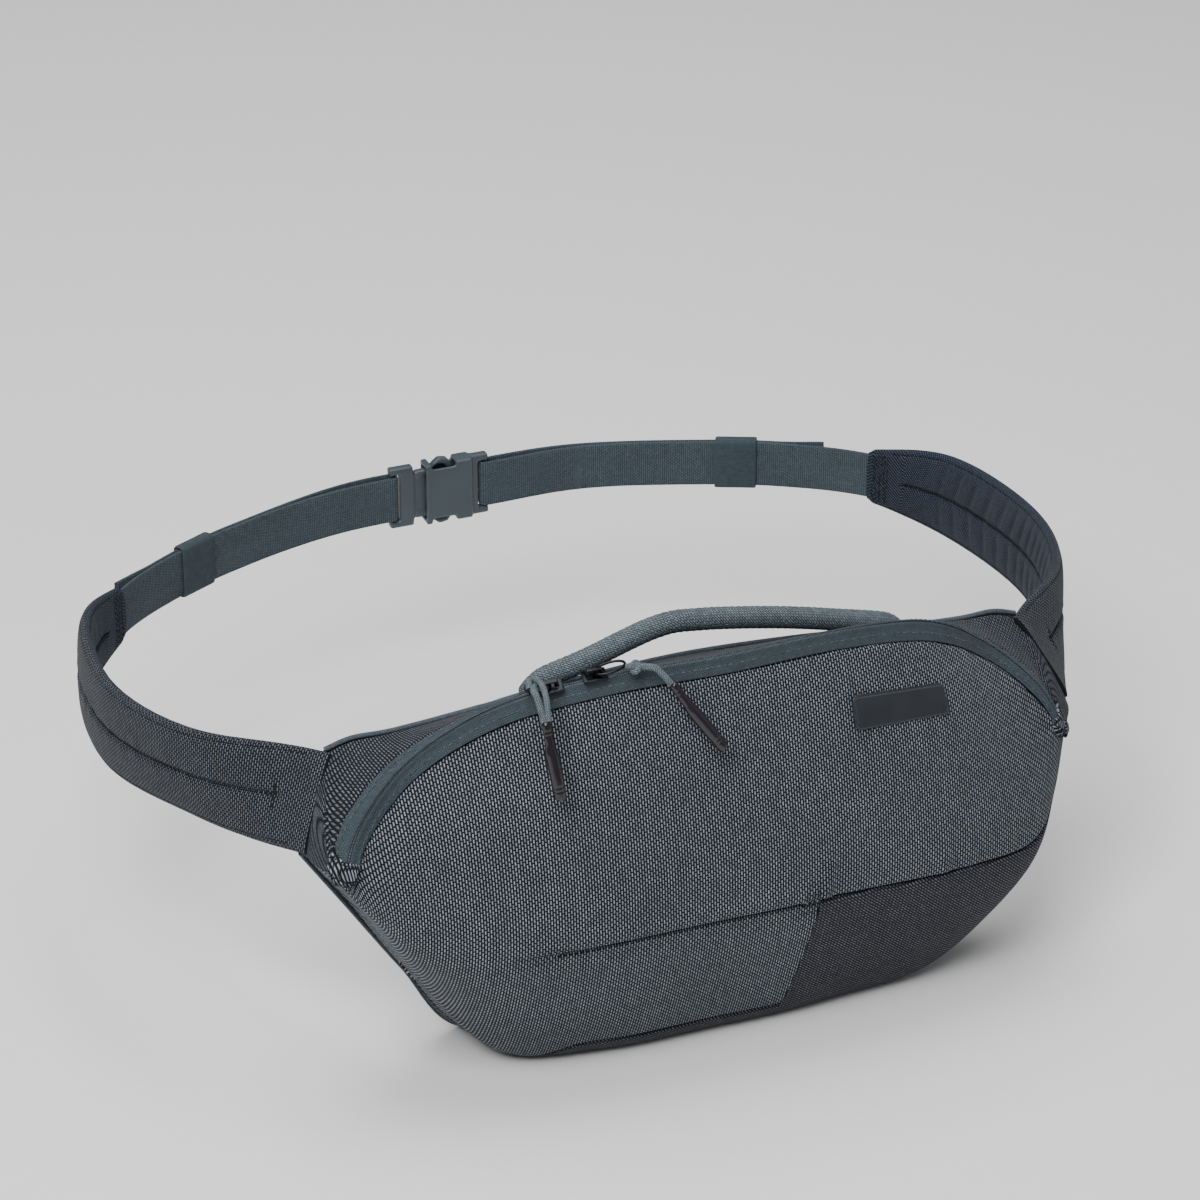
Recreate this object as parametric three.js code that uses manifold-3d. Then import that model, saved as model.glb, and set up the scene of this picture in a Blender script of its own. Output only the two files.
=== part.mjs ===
// Zipped hip pack: a padded bag with a curved top zip, a grab handle, two padded hip wings and a
// webbing waist belt closed by a side-release buckle. Millimetres, +Z up, front of the bag is -Y,
// origin at the middle of the flat base.
import * as THREE from 'three';
import Module from 'manifold-3d';

const wasm = await Module();
wasm.setup();
const { Manifold } = wasm;

// ---------- driving dimensions ----------
const GAP = 0.35; // air between neighbouring pieces

const fabric = { panel: 2.4, gusset: 2.0, lining: 0.8, tape: 1.0, patch: 1.0 };
const backPad = { edge: 3.0, middle: 13.0 };
const backBoard = { thickness: 2.4, setIn: 1.2 };
const wing = { foam: 3.6, skin: 0.9 };
const webbing = { width: 25, thickness: 1.4, layerPitch: 2.2 };
const keeper = { length: 22, wall: 1.2, clearance: 1.2 };
const zip = { coilWidth: 2.4, coilHeight: 1.8, sliderLength: 11, sliderWidth: 8 };
const cord = { diameter: 3.0 };
const handle = { diameter: 10.5 };
const badge = { width: 50, height: 13, thickness: 1.2 };
const buckle = { x: -11, y: 316, z: 119, barThickness: 2.8 };

// Where the sliders are parked and where the seams run, in surface coordinates: u runs from -5 at
// the left wing seam to 5 at the right one, w from 0 at the back of the base to 7 at the back top.
const parked = { left: -1.5, right: -1.12 };
const seam = { dart: 3, sideFoot: 0.48, sideTop: 0.64, zipFront: 5, zipRear: 6 };

// The right half of the bag as six sections, from the middle to the wing seam. Each lists
// [x, y, z] at the base back, base front, toe, belly, chest, zip front, zip rear and back top.
const rightSections = [
  [[0, 16, 0], [0, -18, 0], [0, -38, 12], [0, -62, 80], [0, -54, 142], [0, -37, 194], [0, -27, 197], [0, 20, 173]],
  [[58, 16, 0], [57, -17, 0], [57, -37, 12], [57, -61, 80], [56, -53, 142], [55, -34, 193], [55, -24, 196], [55, 19, 171]],
  [[112, 13, 3], [106, -14, 4], [111, -34, 14], [114, -57, 77], [109, -47, 138], [104, -26, 183], [104, -16, 188], [103, 17, 167.5]],
  [[141, 8, 45], [141, -13, 42], [147, -33, 44], [151, -49, 78], [145, -36, 128], [139, -17, 161], [141, -8, 166.5], [139, 17, 165]],
  [[167, 4, 86], [167, -9, 84], [169, -22, 84], [169, -33, 95], [167, -29, 117], [163, -21, 138], [166, -13, 144], [158, 19, 164]],
  [[190, 1, 122], [188, -4, 122], [186, -10, 121], [182, -16, 120], [178, -22, 119], [174, -28, 118], [177, -20, 122], [171, 20, 160]],
];
// The left half is the same, but slacker at the toe and belly.
const slackerLeft = {
  2: { 1: [104, -10, 5], 2: [105, -27, 15], 3: [112, -55, 79] },
  3: { 2: [138, -8, 47], 1: [139, -2, 46], 3: [148, -42, 86] },
  4: { 1: [165, 0, 87], 2: [164, -6, 88], 3: [168, -28, 101] },
};

// The belt's middle line on the right, from the wing seam to the back of the waist, with its
// height across the strap and the direction that the strap's width points in.
const beltLine = [
  { at: [180.5, 10, 141], width: 46, up: [-0.41, 0.41, 0.82] },
  { at: [217, 67, 132.5], width: 46, up: [0, 0, 1] },
  { at: [237, 137, 124], width: 52, up: [0, -0.2, 0.97] },
  { at: [229, 208, 121], width: 49, up: [0, -0.15, 0.98] },
  { at: [200, 246, 121], width: 30, up: [0, 0, 1] },
  { at: [168, 270, 121], width: 25, up: [0, 0, 1] },
  { at: [129, 291, 120], width: 25, up: [0, 0, 1] },
  { at: [63, 314, 119], width: 25, up: [0, 0, 1] },
  { at: [0, 316, 119], width: 25, up: [0, 0, 1] },
];

// ---------- curves and surfaces ----------
const v3 = (p) => new THREE.Vector3(...p);

// Catmull-Rom value of a list of vectors at a fractional index.
function along(points, t) {
  const i = Math.min(Math.max(Math.floor(t), 0), points.length - 2);
  const f = t - i;
  const b = points[i];
  const c = points[i + 1];
  const a = i > 0 ? points[i - 1] : b.clone().multiplyScalar(2).sub(c);
  const d = i < points.length - 2 ? points[i + 2] : c.clone().multiplyScalar(2).sub(b);
  const weights = [-f + 2 * f ** 2 - f ** 3, 2 - 5 * f ** 2 + 3 * f ** 3, f + 4 * f ** 2 - 3 * f ** 3, f ** 3 - f ** 2];
  const out = new THREE.Vector3();
  [a, b, c, d].forEach((p, k) => out.addScaledVector(p, weights[k] / 2));
  return out;
}

const mirror = ([x, y, z]) => [-x, y, z];
const leftSections = rightSections.map((rows, k) => rows.map((p, r) => mirror(slackerLeft[k]?.[r] ?? p)));
const sections = [...leftSections.slice(1).reverse(), ...rightSections].map((rows) => rows.map(v3));
const rowLines = sections[0].map((_, r) => sections.map((rows) => rows[r]));

function skin(u, w) {
  const p = along(rowLines.map((line) => along(line, u + 5)), w);
  p.z = Math.max(p.z, 0);
  return p;
}

// The back of the bag is ruled between the lowest and highest rows.
const back = (u, v) => skin(u, 0).lerp(skin(u, 7), v);

function normalOf(surface, u, w, uMax, wMax) {
  const e = 0.01;
  const [u0, u1] = [Math.max(u - e, -uMax), Math.min(u + e, uMax)];
  const [w0, w1] = [Math.max(w - e, 0), Math.min(w + e, wMax)];
  const du = surface(u1, w).sub(surface(u0, w));
  const dw = surface(u, w1).sub(surface(u, w0));
  return du.cross(dw).normalize();
}

const skinNormal = (u, w) => normalOf(skin, u, w, 5, 7);

const range = (from, to, n) => Array.from({ length: n + 1 }, (_, i) => from + ((to - from) * i) / n);

// ---------- closed solids ----------
function meshFrom(positions, indices) {
  const geometry = new THREE.BufferGeometry();
  geometry.setAttribute('position', new THREE.Float32BufferAttribute(positions.flatMap((p) => [p.x, p.y, p.z]), 3));
  geometry.setIndex(indices);
  geometry.computeVertexNormals();
  return geometry;
}

// A slab between two grids of points, outer[i][j] and inner[i][j], closed by four side walls.
function slab(outer, inner) {
  const n = outer.length;
  const m = outer[0].length;
  const points = [...outer.flat(), ...inner.flat()];
  const id = (layer, i, j) => layer * n * m + i * m + j;
  const faces = [];
  const quad = (a, b, c, d) => faces.push(a, b, c, a, c, d);
  for (let i = 0; i < n - 1; i++) {
    for (let j = 0; j < m - 1; j++) {
      quad(id(0, i, j), id(0, i + 1, j), id(0, i + 1, j + 1), id(0, i, j + 1));
      quad(id(1, i, j), id(1, i, j + 1), id(1, i + 1, j + 1), id(1, i + 1, j));
    }
    quad(id(0, i, 0), id(1, i, 0), id(1, i + 1, 0), id(0, i + 1, 0));
    quad(id(0, i, m - 1), id(0, i + 1, m - 1), id(1, i + 1, m - 1), id(1, i, m - 1));
  }
  for (let j = 0; j < m - 1; j++) {
    quad(id(0, 0, j), id(0, 0, j + 1), id(1, 0, j + 1), id(1, 0, j));
    quad(id(0, n - 1, j), id(1, n - 1, j), id(1, n - 1, j + 1), id(0, n - 1, j + 1));
  }
  return meshFrom(points, faces);
}

// A sheet of fabric on the bag's skin: its outside is lift above the skin, and low and high give
// its edges in w at each u.
function skinPanel({ us, low, high, rows, lift = 0, thickness }) {
  const grid = (offset) => us.map((u) => range(low(u), high(u), rows).map((w) => {
    const p = skin(u, w).addScaledVector(skinNormal(u, w), offset);
    p.z = Math.max(p.z, Math.max(0, -offset));
    return p;
  }));
  return slab(grid(lift), grid(lift - thickness));
}

const constant = (value) => () => value;

// A strap through a list of {at, up, width} frames, with its thickness across them.
function strap(frames, thickness, shift = 0) {
  const grid = (side) => frames.map((f, i) => {
    const before = frames[Math.max(i - 1, 0)].at;
    const after = frames[Math.min(i + 1, frames.length - 1)].at;
    const normal = after.clone().sub(before).cross(f.up).normalize();
    const middle = f.at.clone().addScaledVector(normal, shift + (side * thickness) / 2);
    return [-0.5, 0.5].map((h) => middle.clone().addScaledVector(f.up, h * f.width));
  });
  return slab(grid(1), grid(-1));
}

const beltPoints = beltLine.map((f) => v3(f.at));
const beltUps = beltLine.map((f) => v3(f.up));
const beltWidths = beltLine.map((f) => new THREE.Vector3(f.width, 0, 0));

function beltFrame(t, side) {
  const flip = new THREE.Vector3(side, 1, 1);
  return {
    at: along(beltPoints, t).multiply(flip),
    up: along(beltUps, t).multiply(flip).normalize(),
    width: along(beltWidths, t).x,
  };
}

function tube(points, radius, steps, sides = 5) {
  const path = new THREE.CatmullRomCurve3(points, false, 'centripetal');
  const circle = new THREE.Shape().absarc(0, 0, radius, 0, 2 * Math.PI);
  return new THREE.ExtrudeGeometry(circle, { steps, curveSegments: sides, bevelEnabled: false, extrudePath: path });
}

function boxSolid([x0, x1], [y0, y1], [z0, z1]) {
  return Manifold.cube([x1 - x0, y1 - y0, z1 - z0]).translate([x0, y0, z0]);
}

function geometryOf(solid) {
  const mesh = solid.getMesh();
  const points = [];
  for (let i = 0; i < mesh.vertProperties.length; i += mesh.numProp) {
    points.push(new THREE.Vector3(...mesh.vertProperties.slice(i, i + 3)));
  }
  return meshFrom(points, Array.from(mesh.triVerts));
}

// ---------- materials ----------
const materials = {
  panelCloth: { color: '#3f474f', roughness: 0.9, metalness: 0 },
  gussetCloth: { color: '#3a424a', roughness: 0.9, metalness: 0 },
  mesh: { color: '#2b2f34', roughness: 0.95, metalness: 0 },
  board: { color: '#1d1f22', roughness: 0.6, metalness: 0 },
  lining: { color: '#8d949a', roughness: 0.85, metalness: 0 },
  foam: { color: '#33373c', roughness: 0.95, metalness: 0 },
  tape: { color: '#4c5a60', roughness: 0.85, metalness: 0 },
  coil: { color: '#39444a', roughness: 0.5, metalness: 0 },
  webbing: { color: '#4a545c', roughness: 0.85, metalness: 0 },
  elastic: { color: '#434d55', roughness: 0.9, metalness: 0 },
  buckle: { color: '#414a52', roughness: 0.55, metalness: 0 },
  metal: { color: '#23262a', roughness: 0.35, metalness: 1 },
  cord: { color: '#57666c', roughness: 0.85, metalness: 0 },
  sheath: { color: '#2a262c', roughness: 0.3, metalness: 0 },
  badge: { color: '#23272c', roughness: 0.5, metalness: 0 },
};

const part = new THREE.Group();

function add(name, geometry, material) {
  const mesh = new THREE.Mesh(geometry, new THREE.MeshStandardMaterial(materials[material]));
  mesh.name = name;
  part.add(mesh);
  return mesh;
}

// ---------- bag body ----------
// The front panel reaches the toe on the left and stops at the dart seam on the right, where the
// base panel comes up the side.
function sideSeam(u) {
  const f = THREE.MathUtils.clamp((u - seam.sideFoot) / (seam.sideTop - seam.sideFoot), 0, 1);
  return 2 + f;
}

const acrossPanel = (end) => [...range(-end, 0.44, 26), 0.48, 0.56, 0.64, ...range(0.8, end, 20)];

function addFrontPanel() {
  const low = (u) => sideSeam(u) + 0.005;
  add('front_panel', skinPanel({
    us: acrossPanel(4.5), low, high: constant(seam.zipFront - 0.02), rows: 14, thickness: fabric.panel,
  }), 'panelCloth');
}

function addBasePanel() {
  const high = (u) => sideSeam(u) - 0.005;
  add('base_panel', skinPanel({
    us: acrossPanel(4.97), low: constant(0.12), high, rows: 14, thickness: fabric.panel,
  }), 'gussetCloth');
}

function addGusset() {
  add('gusset_panel', skinPanel({
    us: range(-4.97, 4.97, 44), low: constant(seam.zipRear + 0.02), high: constant(6.9), rows: 6, thickness: fabric.gusset,
  }), 'gussetCloth');
}

function addLining() {
  add('inner_lining', skinPanel({
    us: range(-2.8, 2.8, 32), low: constant(0.5), high: constant(4.8), rows: 14,
    lift: -fabric.panel - 2.2, thickness: fabric.lining,
  }), 'lining');
}

// The back pad is thin at the seam all round and full in the middle.
function addBackPad() {
  const full = (u, v) => Math.sqrt(Math.max(0, Math.sin(Math.PI * v))) * Math.sqrt(1 - Math.abs(u / 5) ** 4);
  const grid = (thicknessAt) => range(-4.97, 4.97, 40).map((u) => range(0, 1, 14).map((v) => {
    const p = back(u, v);
    p.y += 0.4 + thicknessAt(u, v);
    return p;
  }));
  const depth = (u, v) => backPad.edge + (backPad.middle - backPad.edge) * full(u, v);
  add('back_panel', slab(grid(constant(0)), grid(depth)), 'mesh');
}

function addBackBoard() {
  const grid = (depth) => range(-3.6, 3.6, 30).map((u) => range(0.07, 0.88, 6).map((v) => {
    const p = back(u, v);
    p.y -= backBoard.setIn + depth;
    p.z = Math.max(p.z, 8);
    return p;
  }));
  add('back_board', slab(grid(backBoard.thickness), grid(0)), 'board');
}

// ---------- zip ----------
function addZip() {
  const us = range(-4.62, 4.62, 56);
  const centre = 5.5;
  const half = 0.15;
  const tape = { us, rows: 1, lift: 0.4, thickness: fabric.tape };
  add('zip_tape_front', skinPanel({ ...tape, low: constant(5.03), high: constant(centre - half) }), 'tape');
  add('zip_tape_rear', skinPanel({ ...tape, low: constant(centre + half), high: constant(5.97) }), 'tape');
  add('zip_coil', skinPanel({
    us, low: constant(centre - half + 0.04), high: constant(centre + half - 0.04), rows: 1,
    lift: 0.7, thickness: zip.coilHeight,
  }), 'coil');
}

// A patch of cloth covers each end of the zip.
function addZipEnds() {
  for (const [name, side] of [['left', -1], ['right', 1]]) {
    const us = range(side * 4.68, side * 4.95, 3).sort((a, b) => a - b);
    add(`zip_end_patch_${name}`, skinPanel({
      us, low: constant(5.03), high: constant(5.95), rows: 3, thickness: fabric.patch,
    }), 'gussetCloth');
  }
}

// ---------- sliders and pulls ----------
// Axes on the zip at u: x along the coil towards +u, z out of the bag.
function zipFrame(u) {
  const at = skin(u, 5.5);
  const x = skin(u + 0.02, 5.5).sub(skin(u - 0.02, 5.5)).normalize();
  const z = skinNormal(u, 5.5);
  const y = z.clone().cross(x).normalize();
  return new THREE.Matrix4().makeBasis(x, y, z.crossVectors(x, y)).setPosition(at);
}

// A slider's top plate with the arched crown that holds its pull.
function sliderSolid() {
  const { sliderLength: l, sliderWidth: w } = zip;
  const plate = boxSolid([-l / 2, l / 2], [-w / 2, w / 2], [1.8, 3.4]);
  const crown = boxSolid([-3.6, 3.6], [-1.3, 1.3], [3.3, 7.0]);
  const eye = boxSolid([-2.2, 2.2], [-2, 2], [3.4, 6.05]);
  return plate.add(crown.subtract(eye));
}

// Each pull is a wire bail through the slider's eye, a cord on the bail and a moulded sheath on the
// cord's end. The bail points along the zip, away from the other slider.
const eyeHeight = 4.6;
const pulls = {
  left: {
    direction: -1,
    bailLength: 11,
    cord: [[-90.5, -31.5, 202.5], [-92.5, -37, 203.5], [-92.5, -43, 201], [-91.6, -47, 195]],
    sheath: [[-91.4, -47.6, 194], [-90.6, -51.5, 183], [-89.5, -56, 170], [-88.5, -58.8, 160]],
  },
  right: {
    direction: 1,
    bailLength: 14,
    cord: [[-45, -35.5, 205], [-40, -38, 205.5], [-35, -41.5, 203.5], [-31.5, -44.5, 200]],
    sheath: [[-31, -45, 199.2], [-25, -50, 189], [-17.5, -54.5, 178], [-11, -58, 168.5]],
  },
};

function bailGeometry({ direction, bailLength }, frame) {
  const ring = range(0, 2 * Math.PI, 20).slice(0, -1).map((a) => {
    const reach = (bailLength / 2) * (1 - Math.cos(a));
    return new THREE.Vector3(direction * reach, 3.4 * Math.sin(a), eyeHeight + 0.12 * reach).applyMatrix4(frame);
  });
  const path = new THREE.CatmullRomCurve3(ring, true, 'centripetal');
  return new THREE.TubeGeometry(path, 32, 0.75, 6, true);
}

function addSliders() {
  for (const name of ['left', 'right']) {
    const frame = zipFrame(parked[name]);
    add(`zip_slider_${name}`, geometryOf(sliderSolid()).applyMatrix4(frame), 'metal');
    add(`pull_bail_${name}`, bailGeometry(pulls[name], frame), 'metal');
    add(`pull_cord_${name}`, tube(pulls[name].cord.map(v3), cord.diameter / 2, 12), 'cord');
    add(`pull_sheath_${name}`, tube(pulls[name].sheath.map(v3), 2.7, 12), 'sheath');
  }
}

// ---------- handle and badge ----------
const handlePath = [
  [-66, 12, 182], [-50, 9, 186.5], [-17, 8, 197], [5, 9, 196], [43, 11.5, 188], [80, 14.5, 178.5], [104, 15, 175.8],
];

function addHandle() {
  add('grab_handle', tube(handlePath.map(v3), handle.diameter / 2, 36, 7), 'cord');
}

function addBadge() {
  const us = range(1.02, 1.98, 8);
  const low = constant(4.27);
  const high = constant(4.53);
  add('blank_badge', skinPanel({
    us, low, high, rows: 3, lift: GAP + badge.thickness, thickness: badge.thickness,
  }), 'badge');
}

// ---------- waist belt ----------
const wingFoot = { from: 0.1, to: 0.93 };
const wingSpan = { from: 1.03, to: 3.93 };
const webbingStart = 4.08;

function addWing(name, side) {
  const out = side;
  const offset = wing.foam / 2 + GAP + wing.skin / 2;
  const spans = [['root', wingFoot, 8], ['wing', wingSpan, 28]];
  for (const [piece, span, n] of spans) {
    const frames = range(span.from, span.to, n).map((t) => beltFrame(t, side));
    add(`${piece === 'root' ? 'wing_root' : 'wing'}_foam_${name}`, strap(frames, wing.foam), 'foam');
    add(`${piece === 'root' ? 'wing_root' : 'wing'}_outer_${name}`, strap(frames, wing.skin, out * offset), 'panelCloth');
    add(`${piece === 'root' ? 'wing_root' : 'wing'}_inner_${name}`, strap(frames, wing.skin, -out * offset), 'mesh');
  }
}

// Webbing leaves the wing, goes round the buckle's bar and comes back on the outside to a free tail.
const straps = {
  left: { side: -1, barX: -36.6, tailEnd: 4.1, keeperAt: 5.45 },
  right: { side: 1, barX: 14.6, tailEnd: 4.6, keeperAt: 5.7 },
};

function webbingFrames({ side, barX, tailEnd }) {
  const up = new THREE.Vector3(0, 0, 1);
  const barT = 8 - Math.abs(barX) / 63;
  const reach = buckle.barThickness / 2 + 1.4;
  const layer = (t, n) => {
    const { at } = beltFrame(t, side);
    const ahead = beltFrame(t + 0.02, side).at.sub(beltFrame(t - 0.02, side).at).normalize();
    at.addScaledVector(ahead.cross(up).multiplyScalar(side), n);
    return { at, up, width: webbing.width };
  };
  const nearBar = (t) => THREE.MathUtils.smoothstep(t, barT - 1.2, barT - 0.1);
  const inner = range(webbingStart, barT - 0.02, 26).map((t) => layer(t, -reach * nearBar(t)));
  const turn = range(-90, 90, 8).map((degrees) => {
    const a = THREE.MathUtils.degToRad(degrees);
    const at = new THREE.Vector3(barX - side * Math.cos(a) * reach, buckle.y + Math.sin(a) * reach, buckle.z);
    return { at, up, width: webbing.width };
  });
  const spread = (t) => webbing.layerPitch + (reach - webbing.layerPitch) * nearBar(t);
  const flare = (t) => 8 * Math.max(0, tailEnd + 0.6 - t) ** 1.5;
  const outer = range(barT - 0.02, tailEnd, 30).map((t) => layer(t, spread(t) + flare(t)));
  return [...inner, ...turn, ...outer];
}

// An elastic ring holds the two layers of webbing together.
function addKeeper(name, { side, keeperAt }) {
  const { at } = beltFrame(keeperAt, side);
  const x = beltFrame(keeperAt + 0.02, side).at.sub(beltFrame(keeperAt - 0.02, side).at).normalize();
  const z = new THREE.Vector3(0, 0, 1);
  const y = z.clone().cross(x).normalize();
  const outward = y.clone().multiplyScalar(Math.sign(y.y));
  const middle = at.addScaledVector(outward, webbing.layerPitch / 2);
  const depth = (webbing.layerPitch + webbing.thickness) / 2 + keeper.clearance;
  const height = webbing.width / 2 + 0.8;
  const length = keeper.length / 2;
  const ring = boxSolid([-length, length], [-depth - keeper.wall, depth + keeper.wall], [-height - keeper.wall, height + keeper.wall])
    .subtract(boxSolid([-length - 1, length + 1], [-depth, depth], [-height, height]));
  const geometry = geometryOf(ring);
  geometry.applyMatrix4(new THREE.Matrix4().makeBasis(x, y, z).setPosition(middle));
  add(`keeper_${name}`, geometry, 'elastic');
}

// ---------- side-release buckle ----------
// Drawn about its own middle, with x along the belt from the male half to the female half.
const male = { end: -27, neck: -14, tongue: 6, armTip: 7.4 };
const female = { mouth: -8, floor: 14.5, web: 17.5, end: 27, halfWidth: 17, halfDepth: 5.2 };

function placeBuckle(geometry) {
  return geometry.translate(buckle.x, buckle.y, buckle.z);
}

function addMaleHalf() {
  const bar = 2.8;
  const slot = 2.8;
  const frame = boxSolid([male.end, male.neck], [-2.6, 2.6], [-17, 17]);
  const window = boxSolid([male.end + bar, male.end + bar + slot], [-4, 4], [-13.3, 13.3]);
  const relief = boxSolid([male.end - 1, male.end + bar], [1.2, 4], [-13.3, 13.3]);
  const tongue = boxSolid([male.neck - 1, male.tongue], [-1.4, 1.4], [-4.5, 4.5]);
  const base = frame.subtract(window).subtract(relief).subtract(relief.mirror([0, 1, 0])).add(tongue);
  add('buckle_male_base', placeBuckle(geometryOf(base)), 'buckle');
  const outline = [[male.neck + 0.3, 8.5], [male.neck + 0.3, 13.2], [-5, 13.8], [-3.2, 16.4], [0, 18.9], [4.6, 18.2],
    [7.2, 14.2], [male.armTip, 10.2], [4.6, 12.2], [3.2, 14.9], [0, 15.6], [-2.6, 14.6], [-5, 11.2], [-9, 9.6]];
  for (const [name, sign] of [['upper', 1], ['lower', -1]]) {
    const shape = new THREE.Shape(outline.map(([x, z]) => new THREE.Vector2(x, z * sign)));
    const arm = new THREE.ExtrudeGeometry(shape, { depth: 4.4, bevelEnabled: false });
    arm.translate(0, 0, -2.2).rotateX(Math.PI / 2);
    add(`buckle_arm_${name}`, placeBuckle(arm), 'buckle');
  }
}

function addFemaleHalf() {
  const { mouth, floor, web, end, halfWidth, halfDepth } = female;
  const housing = boxSolid([mouth, web], [-halfDepth, halfDepth], [-halfWidth, halfWidth]);
  const cavity = boxSolid([mouth - 1, floor], [-3, 3], [-14.8, 14.8]);
  const notch = boxSolid([mouth + 3.4, mouth + 16.4], [-6, 6], [14.2, 20]);
  const frame = boxSolid([web - 1, end], [-2.6, 2.6], [-halfWidth, halfWidth]);
  const slot = boxSolid([end - 5.6, end - 2.8], [-4, 4], [-13.3, 13.3]);
  const relief = boxSolid([end - 2.8, end + 1], [1.2, 4], [-13.3, 13.3]);
  const body = housing.subtract(cavity).subtract(notch).subtract(notch.mirror([0, 0, 1])).add(frame)
    .subtract(slot).subtract(relief).subtract(relief.mirror([0, 1, 0]));
  add('buckle_female', placeBuckle(geometryOf(body)), 'buckle');
}

// ---------- assembly ----------
addFrontPanel();
addBasePanel();
addGusset();
addLining();
addBackPad();
addBackBoard();
addZip();
addZipEnds();
addSliders();
addHandle();
addBadge();
for (const [name, side] of [['left', -1], ['right', 1]]) {
  addWing(name, side);
  add(`webbing_${name}`, strap(webbingFrames(straps[name]), webbing.thickness), 'webbing');
  addKeeper(name, straps[name]);
}
addMaleHalf();
addFemaleHalf();

export default part;
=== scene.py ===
import math

import bmesh
import bpy
import numpy as np
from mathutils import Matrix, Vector


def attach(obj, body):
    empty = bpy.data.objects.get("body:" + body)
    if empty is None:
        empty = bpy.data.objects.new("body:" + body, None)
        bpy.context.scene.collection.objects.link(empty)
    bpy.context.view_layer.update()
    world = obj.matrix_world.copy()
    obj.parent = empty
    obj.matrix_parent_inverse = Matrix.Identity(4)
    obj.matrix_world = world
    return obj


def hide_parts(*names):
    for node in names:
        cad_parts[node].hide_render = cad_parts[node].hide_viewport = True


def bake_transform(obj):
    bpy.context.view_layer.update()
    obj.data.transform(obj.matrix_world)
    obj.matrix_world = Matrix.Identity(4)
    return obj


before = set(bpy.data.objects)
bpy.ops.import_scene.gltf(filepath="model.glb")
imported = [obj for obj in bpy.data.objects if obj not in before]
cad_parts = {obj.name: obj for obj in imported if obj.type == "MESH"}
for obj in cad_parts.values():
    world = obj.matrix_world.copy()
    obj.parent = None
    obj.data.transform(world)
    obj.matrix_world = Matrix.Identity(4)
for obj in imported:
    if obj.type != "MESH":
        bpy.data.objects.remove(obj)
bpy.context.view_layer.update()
mm = 0.001


def srgb(text):
    parts = [int(text[i:i + 2], 16) / 255 for i in (1, 3, 5)]
    return (*[p / 12.92 if p <= 0.04045 else ((p + 0.055) / 1.055) ** 2.4 for p in parts], 1)


def newObject(name, data):
    made = bpy.data.objects.new(name, data)
    bpy.context.scene.collection.objects.link(made)
    return made


# camera and light
camera = {
    "azimuth": -21.74, "elevation": 28.53, "distance": 1.8693,
    "target": (-0.0469, 0, 0.2208), "lens": 126.9,
}
studio = {
    "middle": (0, 0.08, 0.1),
    "areas": {
        "key": {"place": (-1.15, -1.25, 2.3), "size": 1.4, "power": 86},
        "fill": {"place": (2.0, -1.0, 1.0), "size": 1.8, "power": 3},
        "top": {"place": (-0.1, 0.5, 2.4), "size": 1.6, "power": 46},
    },
    "world": "#e9eaec",
    "worldPower": 0.26,
}


def addCamera():
    a, e = math.radians(camera["azimuth"]), math.radians(camera["elevation"])
    back = Vector((math.sin(a) * math.cos(e), -math.cos(a) * math.cos(e), math.sin(e)))
    data = bpy.data.cameras.new("camera")
    data.lens = camera["lens"]
    data.sensor_width = 36
    made = newObject("camera", data)
    made.location = Vector(camera["target"]) + back * camera["distance"]
    made.rotation_euler = back.to_track_quat("Z", "Y").to_euler()
    bpy.context.scene.camera = made


def addLights():
    for name, area in studio["areas"].items():
        data = bpy.data.lights.new(name, "AREA")
        data.size = area["size"]
        data.energy = area["power"]
        light = newObject(name, data)
        light.location = area["place"]
        away = Vector(area["place"]) - Vector(studio["middle"])
        light.rotation_euler = away.to_track_quat("Z", "Y").to_euler()
    world = bpy.data.worlds.new("studio")
    world.use_nodes = True
    sky = world.node_tree.nodes["Background"].inputs
    sky[0].default_value, sky[1].default_value = srgb(studio["world"]), studio["worldPower"]
    bpy.context.scene.world = world


addCamera()
addLights()
print("camera and lights done")


# Adds a node, with its settings and with its inputs set or linked in order.
def addNode(tree, kind, *inputs, **settings):
    node = tree.nodes.new("ShaderNode" + kind)
    for key, value in settings.items():
        setattr(node, key, value)
    for socket, value in zip([s for s in node.inputs if s.enabled], inputs):
        if isinstance(value, bpy.types.Node):
            value = next(s for s in value.outputs if s.enabled)
        if isinstance(value, bpy.types.NodeSocket):
            tree.links.new(value, socket)
        elif value is not None:
            socket.default_value = value
    return node


def newMaterial(name, roughness, **sockets):
    material = bpy.data.materials.new(name)
    material.use_nodes = True
    tree = material.node_tree
    shader = tree.nodes["Principled BSDF"]
    shader.inputs["Roughness"].default_value = roughness
    for key, value in sockets.items():
        shader.inputs[key.replace("_", " ")].default_value = value
    return material, tree, shader


def finishMaterial(tree, shader, colour, height, depth, roughness=None):
    tree.links.new(next(s for s in colour.outputs if s.enabled), shader.inputs["Base Color"])
    relief = addNode(tree, "Bump")
    relief.inputs["Strength"].default_value = 0.85
    relief.inputs["Distance"].default_value = depth
    tree.links.new(height.outputs[0], relief.inputs["Height"])
    tree.links.new(relief.outputs[0], shader.inputs["Normal"])
    if roughness:
        tree.links.new(roughness.outputs[0], shader.inputs["Roughness"])


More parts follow.
